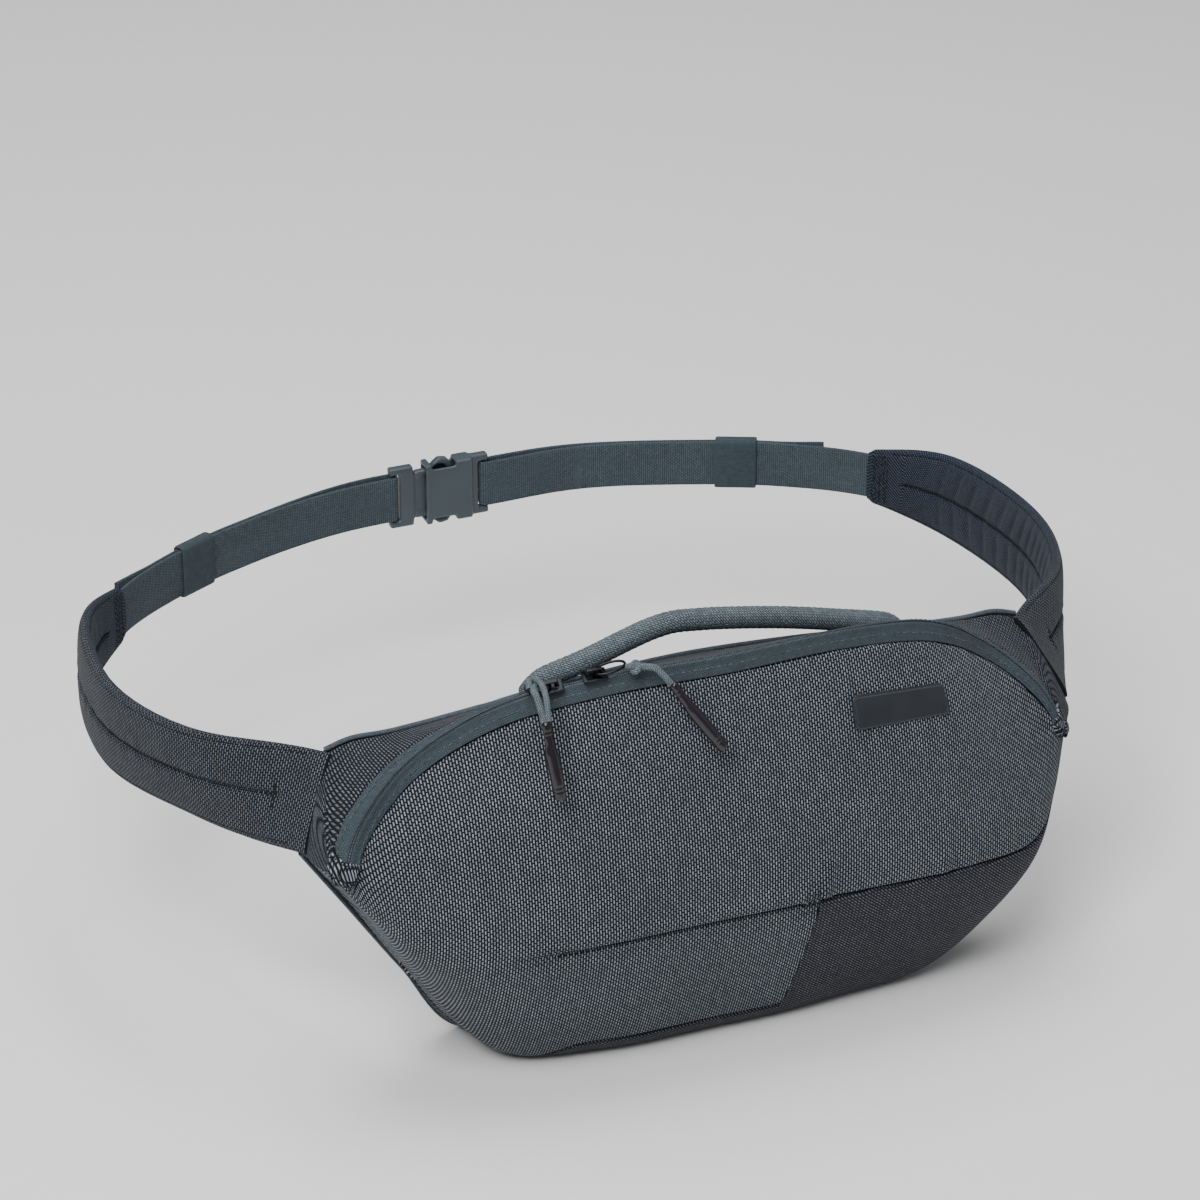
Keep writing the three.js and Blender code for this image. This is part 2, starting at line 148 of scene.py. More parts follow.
# Woven goods: staggered yarn floats of a real size in mm, with the crossing yarn dark between them.
# turn is the cloth's bias in degrees, and sharp narrows each float's bright middle.
def woven(name, gap, floats, size, mortar, turn=0, sharp=1.0, depth=0.0002, roughness=0.86):
    material, tree, shader = newMaterial(name, roughness, Sheen_Weight=0.03, Sheen_Roughness=0.5,
                                         Specular_IOR_Level=0.22)
    cloth = addNode(tree, "UVMap")
    placed = addNode(tree, "Mapping", cloth, None, (0, 0, math.radians(turn)), (1000, 1000, 1000))
    light, dark = srgb(floats[0]), srgb(floats[1])
    weave = addNode(tree, "TexBrick", placed, light, dark, light, 1.0, mortar, 1.0, 0.0, *size)
    slub = addNode(tree, "TexNoise", placed, 0.35, 2.0)
    patchy = addNode(tree, "TexNoise", placed, 0.025, 2.0)
    yarn = addNode(tree, "MapRange", slub, 0.3, 0.7, 0.86, 1.06)
    worn = addNode(tree, "MapRange", patchy, 0.3, 0.7, 0.9, 1.05)
    shade = addNode(tree, "Math", yarn, worn, operation="MULTIPLY")
    inFloat = addNode(tree, "Math", 1.0, weave.outputs["Fac"], operation="SUBTRACT")
    raised = addNode(tree, "Math", inFloat, sharp, operation="POWER")
    tint = addNode(tree, "Mix", raised, srgb(gap), weave.outputs["Color"], data_type="RGBA")
    colour = addNode(tree, "VectorMath", tint, shade, operation="MULTIPLY")
    finishMaterial(tree, shader, colour, raised, depth)
    return material


# Moulded or extruded plastic: one colour with a fine tool-marked grain and slight handling marks.
def moulded(name, colour, roughness, grain=0.00002, uneven=0.07):
    material, tree, shader = newMaterial(name, roughness)
    place = addNode(tree, "TexCoord").outputs["Object"]
    fine = addNode(tree, "TexNoise", place, 2200.0, 2.0)
    marks = addNode(tree, "TexNoise", place, 70.0, 4.0)
    tone = addNode(tree, "MapRange", marks, 0.3, 0.7, 1 - uneven, 1 + uneven)
    base = addNode(tree, "VectorMath", srgb(colour)[:3], tone, operation="MULTIPLY")
    wear = addNode(tree, "MapRange", marks, 0.3, 0.7, roughness - 0.06, roughness + 0.06)
    finishMaterial(tree, shader, base, fine, grain, wear)
    return material


# Die-cast zinc with a dark plated finish: a mirror-like metal, lightly rubbed.
def plated(name, colour):
    material, tree, shader = newMaterial(name, 0.3, Metallic=1.0)
    place = addNode(tree, "TexCoord").outputs["Object"]
    marks = addNode(tree, "TexNoise", place, 420.0, 3.0)
    tone = addNode(tree, "MapRange", marks, 0.3, 0.7, 0.85, 1.2)
    base = addNode(tree, "VectorMath", srgb(colour)[:3], tone, operation="MULTIPLY")
    wear = addNode(tree, "MapRange", marks, 0.3, 0.7, 0.24, 0.4)
    finishMaterial(tree, shader, base, marks, 0.00001, wear)
    return material


# Spacer mesh: a knitted net of small hexagons over a darker ground; the near-black ground in each open cell is
# painted shade.
def netted(name, ground, yarn, cell):
    material, tree, shader = newMaterial(name, 0.9, Sheen_Weight=0.2)
    cloth = addNode(tree, "UVMap")
    placed = addNode(tree, "Mapping", cloth, None, None, (1000 / cell,) * 3)
    net = addNode(tree, "TexVoronoi", placed, feature="DISTANCE_TO_EDGE")
    net.inputs["Scale"].default_value = 1.0
    net.inputs["Randomness"].default_value = 0.15
    strands = addNode(tree, "MapRange", net.outputs["Distance"], 0.06, 0.22, 1.0, 0.0)
    # the open cells take the near-black ground colour: painted shade in the holes
    colour = addNode(tree, "Mix", strands, srgb(ground), srgb(yarn), data_type="RGBA")
    finishMaterial(tree, shader, colour, strands, 0.0005)
    return material


looks = {
    # polyester packcloth in two greys: pale floats in a half-drop with near-black yarn between them.
    # Its 1.1 mm pitch is drawn at 1.3 mm across and 2.5 mm along the floats, so that they show.
    "panel": woven("packcloth", "#030508", ("#9aa1ac", "#767e89"), (2.5, 1.3), 0.56, 90, 3.6),
    # the same cloth on the bias: a diagonal weave, a shade darker; the darker tone is painted shade, as the
    # base faces down, away from the light
    "base": woven("packclothOnTheBiasWithPaintedShade", "#040509", ("#686a75", "#4f515b"), (2.4, 1.25), 0.54, 45, 3.0),
    # and on the wings and the wearer's side: darker; the wing cloth, also used on the gusset, is the same cloth
    # with painted shade
    "wing": woven("packclothOnTheWingsWithPaintedShade", "#030508", ("#6e747f", "#545a64"), (2.4, 1.25), 0.56, 90, 3.2),
    "inner": woven("packclothFacingTheWearer", "#05080e", ("#414b5c", "#343e4f"), (1.7, 0.9), 0.34, 60, 1.8),
    # polyester twill of the zip's tape: a fine slanting rib, drawn at twice its real 0.3 mm
    "tape": woven("zipTapeTwill", "#1c242a", ("#4b565e", "#414b53"), (1.3, 0.7), 0.24, 35, depth=0.00008),
    # nylon monofilament of the zip's coil: smooth, with small bright glints
    "coil": moulded("nylonMonofilament", "#323b42", 0.42),
    # nylon webbing: 1 mm ribs across the strap
    "webbing": woven("nylonWebbing", "#262f36", ("#56626a", "#49555d"), (0.9, 1.1), 0.3, 90, depth=0.00022),
    # knitted elastic: finer and smoother than the webbing, with a little sheen
    "elastic": woven("knittedElastic", "#2a333a", ("#414c54", "#3a454d"), (1.2, 0.8), 0.2, 90, depth=0.0001),
    # grosgrain tape: a fine cross rib, lighter than the cloth
    "binding": woven("grosgrainBinding", "#1f262d", ("#5d666f", "#4c555e"), (0.9, 0.8), 0.2, 90, depth=0.00015),
    # braided polyester rope: flat yarn bundles crossing at 45 degrees
    "rope": woven("braidedRope", "#131a20", ("#76828a", "#5e6a72"), (2.0, 1.0), 0.3, 45, depth=0.0003),
    "cord": woven("braidedCord", "#1a242a", ("#76838a", "#606d74"), (1.5, 0.8), 0.22, 45, depth=0.0002),
    # acetal copolymer, moulded in a spark-eroded tool: even, half matte
    "buckle": moulded("acetal", "#3b444b", 0.46),
    # plasticised PVC, moulded in a polished tool: glossy, with soft highlights
    "sheath": moulded("softPvc", "#1c171e", 0.2, grain=0.000006),
    "metal": plated("darkPlatedZinc", "#26272b"),
    # knitted polyester spacer: matt, with painted shade in its open cells
    "mesh": netted("spacerMesh", "#0c0f13", "#343b44", 2.6),
    # polyester taffeta: a fine plain weave, smoother and paler than the outer cloth
    "lining": woven("greyTaffeta", "#2f353b", ("#7b828a", "#6b727a"), (0.8, 0.8), 0.16, depth=0.00005,
                    roughness=0.7),
    # bonded nylon thread, in the belt's tone and near black
    "thread": woven("bondedNylonThread", "#222a31", ("#56626b", "#47535c"), (0.6, 0.25), 0.08, 30,
                    depth=0.00005),
    "darkThread": woven("darkNylonThread", "#06080b", ("#171c22", "#10151a"), (0.6, 0.25), 0.08, 30,
                        depth=0.00005),
    # silicone rubber: smooth, with a soft sheen
    "badge": moulded("siliconeRubber", "#1f2329", 0.36, grain=0.00001),
    "board": moulded("polyethyleneBoard", "#1a1c1f", 0.55),
    "floor": moulded("floorPaper", "#e6e6e5", 0.88, grain=0.00001, uneven=0.004),
}
print("materials done")


# Makes a mesh from points, quads with their own uvs in metres, and end caps.
def makeMesh(name, points, quads, uvs, look, caps=(), closed=False):
    mesh = bpy.data.meshes.new(name)
    faces = np.asarray(quads).tolist() + [list(cap) for cap in caps]
    mesh.from_pydata(np.asarray(points).reshape(-1, 3).tolist(), [], faces)
    layer = mesh.uv_layers.new(name="cloth")
    flat = np.zeros((len(mesh.loops), 2), dtype=np.float32)
    flat[:len(quads) * 4] = np.asarray(uvs, dtype=np.float32).reshape(-1, 2)
    layer.data.foreach_set("uv", flat.ravel())
    mesh.polygons.foreach_set("use_smooth", [True] * len(mesh.polygons))
    mesh.materials.append(looks[look])
    if closed:
        edit = bmesh.new()
        edit.from_mesh(mesh)
        bmesh.ops.recalc_face_normals(edit, faces=edit.faces)
        edit.to_mesh(mesh)
        edit.free()
    mesh.update()
    return newObject(name, mesh)


# The quads of a grid of n by m points, and the row and column of each of their corners.
def quadGrid(n, m, wrap=False):
    i, j = np.meshgrid(np.arange(n - 1), np.arange(m if wrap else m - 1), indexing="ij")
    corners = [(i, j), (i + 1, j), (i + 1, j + 1), (i, j + 1)]
    quads = np.stack([a * m + b % m for a, b in corners], -1).reshape(-1, 4)
    places = tuple(np.stack([corner[k] for corner in corners], -1).reshape(-1, 4) for k in (0, 1))
    return quads, places


def endCaps(n, m):
    return [range(m), range((n - 1) * m, n * m)]


def lengths(points, axis=0):
    steps = np.linalg.norm(np.diff(points, axis=axis), axis=-1)
    pad = [(0, 0)] * steps.ndim
    pad[axis] = (1, 0)
    return np.cumsum(np.pad(steps, pad), axis=axis)


def applyModifiers(made):
    bpy.context.view_layer.update()
    graph = bpy.context.evaluated_depsgraph_get()
    shaped = made.evaluated_get(graph)
    mesh = bpy.data.meshes.new_from_object(shaped, preserve_all_data_layers=True, depsgraph=graph)
    made.modifiers.clear()
    made.data = mesh


# A sheet of cloth through a grid of points, given its thickness inwards.
def sheetMesh(name, grid, uv, look, thickness=0.0012):
    quads, places = quadGrid(*grid.shape[:2])
    made = makeMesh(name, grid, quads, uv[places], look)
    solid = made.modifiers.new("thickness", "SOLIDIFY")
    solid.thickness = thickness
    solid.offset = -1
    applyModifiers(made)
    return made


# A closed section carried along a path: section[i][k] is (outwards, up) in metres.
def sweep(name, at, out, up, section, look, ring=False):
    n = len(at)
    section = np.broadcast_to(section, (n,) + np.asarray(section).shape[-2:])
    points = at[:, None] + out[:, None] * section[..., :1] + up[:, None] * section[..., 1:]
    if ring:
        points = np.concatenate([points, points[:1]])
        n += 1
    m = points.shape[1]
    closed = np.concatenate([points, points[:, :1]], axis=1)
    onPath = np.repeat(lengths(points.mean(axis=1))[:, None], m + 1, axis=1)
    uv = np.stack([onPath, lengths(closed, axis=1)], -1)
    quads, places = quadGrid(n, m, wrap=True)
    caps = [] if ring else endCaps(n, m)
    if ring:
        quads = np.where(quads >= (n - 1) * m, quads - (n - 1) * m, quads)
        points = points[:-1]
    return makeMesh(name, points, quads, uv[places], look, caps, closed=True)


# Catmull-Rom values of a list of points at fractional places, or of one list for each place.
def spline(points, t, listEach=False):
    points, t = np.asarray(points, float), np.asarray(t, float)
    lists = (np.arange(len(t)),) if listEach else ()
    last = points.shape[len(lists)] - 1
    i = np.clip(np.floor(t).astype(int), 0, last - 1)
    before, b, c, after = (points[(*lists, np.clip(i + k, 0, last))] for k in (-1, 0, 1, 2))
    f, inner, more = (v.reshape(t.shape + (1,) * (b.ndim - t.ndim)) for v in (t - i, i > 0, i < last - 1))
    a, d = np.where(inner, before, 2 * b - c), np.where(more, after, 2 * c - b)
    return 0.5 * (2 * b + (c - a) * f + (2 * a - 5 * b + 4 * c - d) * f ** 2 + (3 * b - a - 3 * c + d) * f ** 3)


def unit(v):
    return v / np.maximum(np.linalg.norm(v, axis=-1, keepdims=True), 1e-12)


def hump(x, centre, width):
    return np.exp(-((x - centre) / width) ** 2)


def smooth(x, low, high):
    f = np.clip((x - low) / (high - low), 0, 1)
    return f * f * (3 - 2 * f)


# A rounded rectangle: its points and outward directions.
def roundedRing(halfWidth, halfHeight, corner, inset=0.0):
    a = np.linspace(0, math.pi / 2, 7) + np.arange(4)[:, None] * math.pi / 2
    outward = np.stack([np.cos(a), np.sin(a)], -1)
    centre = np.array([(1, 1), (-1, 1), (-1, -1), (1, -1)]) * [halfWidth - corner, halfHeight - corner]
    ring = centre[:, None] + outward * max(corner - inset, 0.2)
    return ring.reshape(-1, 2), outward.reshape(-1, 2)


# A list of vectors read at other distances than its own.
def readAt(at, s, line):
    return np.stack([np.interp(at, s, line[:, k]) for k in range(3)], -1)


# Evenly spaced points and directions on a polyline.
def respaced(line, pitch):
    s = lengths(line)
    at = np.arange(pitch / 2, s[-1], pitch)
    return at, readAt(at, s, line), unit(readAt(at + pitch / 4, s, line) - readAt(at - pitch / 4, s, line))


# Lockstitches: each is a short rounded length of thread half sunk in the cloth.
def addStitches(name, body, look, seams, pitch=2.8, length=2.0, radius=0.32):
    ringAt = np.array([-0.5, -0.38, 0.38, 0.5]) * length * mm
    ringSize = np.array([0.3, 1, 1, 0.3]) * radius * mm
    turn = np.arange(6) * math.pi / 3
    points, quads = [], []
    for line, outward in seams:
        s, middle, along = respaced(line, pitch * mm)
        normal = unit(readAt(s, lengths(line), outward))
        side = unit(np.cross(normal, along))
        normal = np.cross(along, side)
        for p, t, z, x in zip(middle, along, normal, side):
            rings = p + t * ringAt[:, None, None] + ringSize[:, None, None] * (
                np.cos(turn)[None, :, None] * x + np.sin(turn)[None, :, None] * z)
            quads.append(quadGrid(4, 6, wrap=True)[0] + 24 * len(points))
            points.append(rings)
    first = 24 * np.arange(len(points))[:, None] + np.arange(6)
    caps = first.tolist() + (first + 18).tolist()
    quads = np.concatenate(quads)
    uv = np.zeros((len(quads), 4, 2)) + np.arange(len(quads))[:, None, None] * 0.0003
    made = makeMesh(name, np.concatenate(points), quads, uv, look, caps, closed=True)
    if body:
        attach(made, body)
    return made


floorMesh = makeMesh("floor", [(-4, -4, -0.0004), (4, -4, -0.0004), (4, 4, -0.0004), (-4, 4, -0.0004)],
                     [(0, 1, 2, 3)], [[(0, 0), (1, 0), (1, 1), (0, 1)]], "floor")

# Six sections from the middle of the bag to the wing seam: base back, base front, toe, belly, chest,
# zip front, zip rear and back top, in mm. The left side hangs a little slacker.
bagShape = {
    "right": [
        [(0, 16, 0), (0, -18, 0), (0, -38, 12), (0, -62, 80), (0, -54, 142), (0, -37, 194), (0, -27, 197),
         (0, 20, 173)],
        [(58, 16, 0), (57, -17, 0), (57, -37, 12), (57, -61, 80), (56, -53, 142), (55, -34, 193),
         (55, -24, 196), (55, 19, 171)],
        [(112, 13, 3), (106, -14, 4), (111, -34, 14), (114, -57, 77), (109, -47, 138), (104, -26, 183),
         (104, -16, 188), (103, 17, 167.5)],
        [(141, 8, 45), (141, -13, 42), (147, -33, 44), (151, -49, 78), (145, -36, 128), (139, -17, 161),
         (141, -8, 166.5), (139, 17, 165)],
        [(167, 4, 86), (167, -9, 84), (169, -22, 84), (169, -33, 95), (167, -29, 117), (163, -21, 138),
         (166, -13, 144), (158, 19, 164)],
        [(190, 1, 122), (188, -4, 122), (186, -10, 121), (182, -16, 120), (178, -22, 119), (174, -28, 118),
         (177, -20, 122), (171, 20, 160)],
    ],
    "slackerLeft": {
        2: {1: (104, -10, 5), 2: (105, -27, 15), 3: (112, -55, 79)},
        3: {1: (139, -2, 46), 2: (138, -8, 47), 3: (148, -42, 86), 6: (144, -9, 168)},
        4: {1: (165, 0, 87), 2: (164, -6, 88), 3: (168, -28, 101), 6: (171, -15, 147)},
        5: {6: (183, -20, 123)},
    },
    "footSeam": 0.48,       # the vertical seam starts here at the toe
    "topSeam": 0.64,        # and meets the dart here
    "dart": 3.0,
    "dartStart": -1.95,
    "tucked": 1.75,         # on the left the front cloth wraps this many rows further under
    "tuck": (1.2, 2.8),
    "clothThickness": 1.2,
}


def bagSections():
    right = np.array(bagShape["right"], float) * mm
    left = right.copy()
    for k, rows in bagShape["slackerLeft"].items():
        for r, point in rows.items():
            left[k, r] = np.array(point) * mm
    left[..., 0] *= -1
    return np.concatenate([left[:0:-1], right])


sections = bagSections()


# The bag's outer surface: u runs from wing seam to wing seam, w from the base's back edge up and over.
def skin(u, w):
    u, w = np.broadcast_arrays(np.asarray(u, float), np.asarray(w, float))
    p = spline(spline(sections, u.ravel() + 5), w.ravel(), listEach=True)
    p[:, 2] = np.maximum(p[:, 2], 0)
    return p.reshape(u.shape + (3,))


def skinNormal(u, w):
    e = 0.01
    du = skin(np.minimum(u + e, 5), w) - skin(np.maximum(u - e, -5), w)
    dw = skin(u, np.minimum(w + e, 7)) - skin(u, np.maximum(w - e, 0))
    return unit(np.cross(du, dw))


# A line of stitches on the bag, lift mm above its surface.
def seamOn(u, w, lift):
    normal = skinNormal(u, w)
    return skin(u, w) + normal * lift * mm, normal


# u and w at every point of a panel that runs between two edges.
def panelGrid(us, low, high, steps):
    u = us[:, None] + 0 * steps
    return u, low * (1 - steps) + high * steps + 0 * u


# The cloth's own coordinates: level distance round the bag, and distance up it from the toe's height.
finer = 20      # entries in each table for a step of one in u or w
toe = 2 * finer
clothU, clothW = np.linspace(-5, 5, 10 * finer + 1), np.linspace(0, 7, 7 * finer + 1)
clothGrid = skin(clothU[:, None], clothW[None, :])
aroundBag = lengths(clothGrid[..., :2], axis=0)
aroundBag -= aroundBag[5 * finer]
upBag = lengths(clothGrid, axis=1)
upBag += clothGrid[:, toe:toe + 1, 2] - upBag[:, toe:toe + 1]


def clothUv(u, w):
    fu, fw = (u + 5) * finer, w * finer
    i, j = (np.clip(f.astype(int), 0, steps * finer - 1) for f, steps in ((fu, 10), (fw, 7)))
    a, b = fu - i, fw - j
    out = []
    for table in (aroundBag, upBag):
        low = table[i, j] * (1 - a) + table[i + 1, j] * a
        high = table[i, j + 1] * (1 - a) + table[i + 1, j + 1] * a
        out.append(low * (1 - b) + high * b)
    return np.stack(out, -1)


# Filled cloth is never quite even: slow, shallow swells in metres.
def unevenness(p):
    x, y, z = (p[..., k] / mm for k in range(3))
    waves = np.sin(x / 31 + z / 47 + 0.7) * np.sin(z / 26 - x / 83 + 1.9)
    waves = waves + 0.55 * np.sin(x / 17 - z / 21 + 0.4) * np.sin(z / 15 + x / 39)
    return waves * 0.0006


# How far each point drops where the panel's long edges turn under, and its ends if asked.
def turnUnder(grid, radius, ends=True):
    v, u = lengths(grid, axis=1), lengths(grid, axis=0)
    nearest = np.minimum(v, v[:, -1:] - v)
    if ends:
        nearest = np.minimum(nearest, np.minimum(u, u[-1:] - u))
    e = np.clip(1 - nearest / radius, 0, 1)
    return radius * (1 - np.sqrt(1 - e ** 2))


# Even steps, with more of them at both edges.
def edgeSteps(n, fine=(0.0006, 0.0015, 0.003, 0.006, 0.012, 0.024)):
    near = np.array(fine)
    return np.unique(np.concatenate([np.linspace(0, 1, n), near, 1 - near]))


def bagPanel(name, us, low, high, steps, look, lift=0.0, roll=0.0022, drop=0.0002):
    u, w = panelGrid(us, low(us)[:, None], high(us)[:, None], steps)
    ground = skin(u, w)
    height = lift(u, w, ground) if callable(lift) else lift
    height = height + unevenness(ground) - turnUnder(ground, roll) - drop
    grid = ground + skinNormal(u, w) * height[..., None]
    grid[..., 2] = np.maximum(grid[..., 2], 0.0002)
    return sheetMesh(name, grid, clothUv(u, w), look, bagShape["clothThickness"] * mm)


def always(value):
    return lambda u: np.full_like(u, value)


# The seam between front and base: along the toe, up to the dart on the right, and far under on the left.
def sideSeam(u):
    start, end = bagShape["footSeam"], bagShape["topSeam"]
    return 2 + np.clip((u - start) / (end - start), 0, 1) - bagShape["tucked"] * smooth(-u, *bagShape["tuck"])


def across(end, n):
    near = np.linspace(bagShape["footSeam"] - 0.03, bagShape["topSeam"] + 0.03, 16)
    return np.unique(np.concatenate([np.linspace(-end, end, n), near]))


# The cloth hangs over the dart seam, with puckers above it and gathers below the zip.
def frontRelief(u, w, ground):
    d = (w - bagShape["dart"]) * 66
    x = ground[..., 0] / mm
    depth = smooth(u, bagShape["dartStart"], bagShape["dartStart"] + 0.5) * (u < bagShape["topSeam"] + 0.05)
    over = 1.4 * hump(d, 5, 5) * (d > 0) - 3.2 * hump(d, 0, 1.1) - 0.9 * hump(d, -4, 3.5) * (d < 0)
    above = hump(d, 10, 12) * (d > 0)
    pucker = 1.4 * hump(x, 40, 2.6) - 0.9 * hump(x, 45, 3.5) + 1.1 * hump(x, 100, 3) - 0.8 * hump(x, 105, 4)
    near = np.clip((w - 4.2) / 0.8, 0, 1) ** 2
    gather = 0.3 * np.sin(x / 3.1) * np.sin(x / 17 + 1) + 0.8 * hump(x, -58, 5) - 0.9 * hump(x, -46, 4)
    return (over * depth + pucker * above + gather * near) * mm


def baseRelief(u, w, ground):
    x, z = ground[..., 0] / mm, ground[..., 2] / mm
    near = smooth(w, 2.2, 2.9)
    slant = x + 0.25 * z
    folds = 0.9 * hump(slant, 78, 4) - 0.8 * hump(slant, 85, 4)
    return (folds + 0.5 * np.sin(x / 6 + z / 11) * hump(x, 90, 40)) * near * mm


# Behind the zip one cloth runs from wing seam to wing seam, and closes both ends of the bag.
def gussetPanel():
    up, back = edgeSteps(40), np.linspace(0, 1, 18)[1:]
    u, w = panelGrid(np.linspace(-4.96, 4.96, 200), 6.03, 6.97, up)
    ground = skin(u, w)
    height = unevenness(ground) - turnUnder(ground, 0.0022, ends=False) - 0.0002
    middle = ground + skinNormal(u, w) * height[..., None]
    parts = [middle]
    for side, edge in [(-1, middle[0]), (1, middle[-1])]:
        seam = skin(side * 5.0, 0) * (1 - up[:, None]) + skin(side * 5.0, 7) * up[:, None]
        seam = seam + np.array([side * 0.8, -0.8, 0.2]) * mm
        grid = edge[None] * (1 - back[:, None, None]) + seam[None] * back[:, None, None]
        # its lower edge follows the ends of the front and the base, so that nothing stands open
        hem = skin(side * 4.985, 6.03 * (1 - back)) - grid[:, 0]
        grid = grid + hem[:, None] * ((1 - up) ** 3)[None, :, None]
        crown = np.sin(math.pi * up)[None, :] * np.sin(math.pi * back)[:, None]
        grid = grid + crown[..., None] * np.array([side * 1.2, -1.2, 0.4]) * mm
        parts = [grid[::-1], *parts] if side < 0 else [*parts, grid]
    grid = np.concatenate(parts)
    around, rise = lengths(grid[..., :2], axis=0), lengths(grid, axis=1)
    uv = np.stack([around - around[len(grid) // 2], rise + grid[:, :1, 2]], -1)
    return sheetMesh("gusset_cloth", grid, uv, "wing", bagShape["clothThickness"] * mm)


def addBagCloth():
    dart = (np.linspace(2.9, 3.12, 30) - 2) / 2.985
    steps = np.unique(np.concatenate([edgeSteps(90), dart]))
    front = bagPanel("front_cloth", across(4.97, 230), lambda u: sideSeam(u) + 0.004, always(4.985), steps,
                     "panel", frontRelief)
    base = bagPanel("base_cloth", across(4.97, 200), always(0.02), lambda u: sideSeam(u) - 0.006,
                    edgeSteps(70), "base", baseRelief)
    gusset = gussetPanel()
    lining = bagPanel("lining_cloth", np.linspace(-3.4, 3.4, 60), always(0.5), always(4.8),
                      np.linspace(0, 1, 50), "lining", lift=-0.0055)
    for piece, node, slot in [(front, "front_panel", "panel_cloth"), (base, "base_panel", "gusset_cloth"),
                              (gusset, "gusset_panel", "gusset_cloth"), (lining, "inner_lining", "lining")]:
        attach(piece, "bag")
        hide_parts(node)


addBagCloth()
print("bag cloth done")


# The back's lower and upper seams are bound with folded tape.
def addBindings():
    turn = np.linspace(0, 2 * math.pi, 11)[:-1]
    for name, row, size in [("lower", 0.0, 0.8), ("upper", 7.0, 1.1)]:
        u = np.linspace(-4.97, 4.97, 260)
        at = skin(u, row)
        if row == 0:
            at = at + np.array([0, 0.4, 0]) * mm
        at[:, 2] = np.maximum(at[:, 2], (size + 0.2) * mm)
        along = unit(np.gradient(at, axis=0))
        out = unit(np.cross(along, np.array([0, 1.0, 0])))
        up = unit(np.cross(out, along))
        section = np.stack([np.cos(turn) * size, np.sin(turn) * size * 1.2], -1) * mm
        piece = sweep(f"binding_{name}", at, out, up, section, "binding")
        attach(piece, "bag")


# The padded back: a pillow with two channels and turned edges.
backPad = {"edge": 3, "middle": 13, "channels": (-1.75, 1.75), "channelDepth": 4.5, "channelWidth": 0.09}


def addBackPanel():
    us = np.linspace(-4.97, 4.97, 220)
    vs = edgeSteps(70, (0.004, 0.01, 0.02, 0.035, 0.055))
    u, v = panelGrid(us, 0, 1, vs)
    ground = skin(u, 0) * (1 - v[..., None]) + skin(u, 7) * v[..., None]
    du, dv = np.gradient(ground, axis=0), np.gradient(ground, axis=1)
    out = unit(np.cross(dv, du))
    crown = np.sqrt(np.clip(np.sin(math.pi * v), 0, 1)) * np.sqrt(np.clip(1 - np.abs(u / 5) ** 4, 0, 1))
    depth = backPad["edge"] + (backPad["middle"] - backPad["edge"]) * crown
    for middle in backPad["channels"]:
        depth = depth - backPad["channelDepth"] * hump(u, middle, backPad["channelWidth"]) * crown
    depth = depth - 2.6 * hump(v, 0.5, 0.035) * crown * (np.abs(u) > 1.9)
    depth = depth * mm - turnUnder(ground, 0.003) * 0.8
    front = ground + np.array([0, 0.4, 0]) * mm
    back = front + out * depth[..., None]
    n, m = back.shape[:2]
    quads, places = quadGrid(n, m)
    uv = np.stack([lengths(ground, axis=0), lengths(ground, axis=1)], -1)[places]
    at = np.arange(n * m).reshape(n, m)
    rim = np.concatenate([at[:, 0], at[-1, 1:], at[-2::-1, -1], at[0, -2:0:-1]])
    wall = np.stack([rim, np.roll(rim, -1), np.roll(rim, -1) + n * m, rim + n * m], -1)
    wallUv = np.zeros((len(wall), 4, 2))
    points = np.concatenate([back.reshape(-1, 3), front.reshape(-1, 3)])
    piece = makeMesh("back_pad", points, np.concatenate([quads, quads[:, ::-1] + n * m, wall]),
                     np.concatenate([uv, uv[:, ::-1], wallUv]), "mesh", closed=True)
    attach(piece, "bag")
    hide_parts("back_panel")


addBindings()
addBackPanel()
print("back done")


# A reverse coil zip: two tapes with the coil behind them, so a fine ribbed gap shows between.
zipShape = {"end": 4.78, "middle": 5.5, "pitch": 1.3}


def addZip():
    end, middle, pitch = (zipShape[k] for k in ("end", "middle", "pitch"))
    us = np.linspace(-end, end, 420)
    for name, low, high, hem in [("front", 4.985, 5.47, 5.13), ("rear", 5.53, 6.03, 5.87)]:
        u, w = panelGrid(us, low, high, np.linspace(0, 1, 22))
        inner = np.abs(w - middle)
        height = 0.5 + 0.75 * smooth(inner, 0.3, 0.05) - 0.9 * smooth(inner, 0.06, 0.03)
        height = height - 0.5 * smooth(inner, 0.42, 0.5)
        grid = skin(u, w) + skinNormal(u, w) * height[..., None] * mm
        tape = sheetMesh(f"zip_tape_{name}_cloth", grid, clothUv(u, w), "tape", 0.0009)
        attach(tape, "bag")
        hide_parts(f"zip_tape_{name}")
        line = np.linspace(-4.62, 4.62, 400)
        addStitches(f"zip_stitches_{name}", "bag", "thread", [seamOn(line, hem, 0.6)])
    total = lengths(skin(np.linspace(-end, end, 400), middle))[-1] / mm
    us = np.linspace(-end, end, int(total / pitch) * 4)
    steps = np.linspace(-0.055, 0.055, 7)
    u = us[:, None] + 0 * steps
    w = middle + steps + 0 * u
    ground = skin(u, w)
    s = lengths(ground)[:, 3:4] / mm
    tooth = np.abs(np.sin(math.pi * s / pitch + np.sign(steps) * 0.6))
    height = 0.1 + 0.7 * tooth * (1 - (steps / 0.06) ** 2)
    grid = ground + skinNormal(u, w) * height[..., None] * mm
    coil = sheetMesh("zip_coil_teeth", grid, clothUv(u, w), "coil", 0.0012)
    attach(coil, "bag")
    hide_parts("zip_coil")


# A stitched rectangle of cloth wraps each end of the zip; its stitches keep in by the margins.
zipEnd = {"u": (4.6, 4.98), "w": (4.96, 6.04), "lift": 1.5, "marginU": 0.06, "marginW": 0.1}


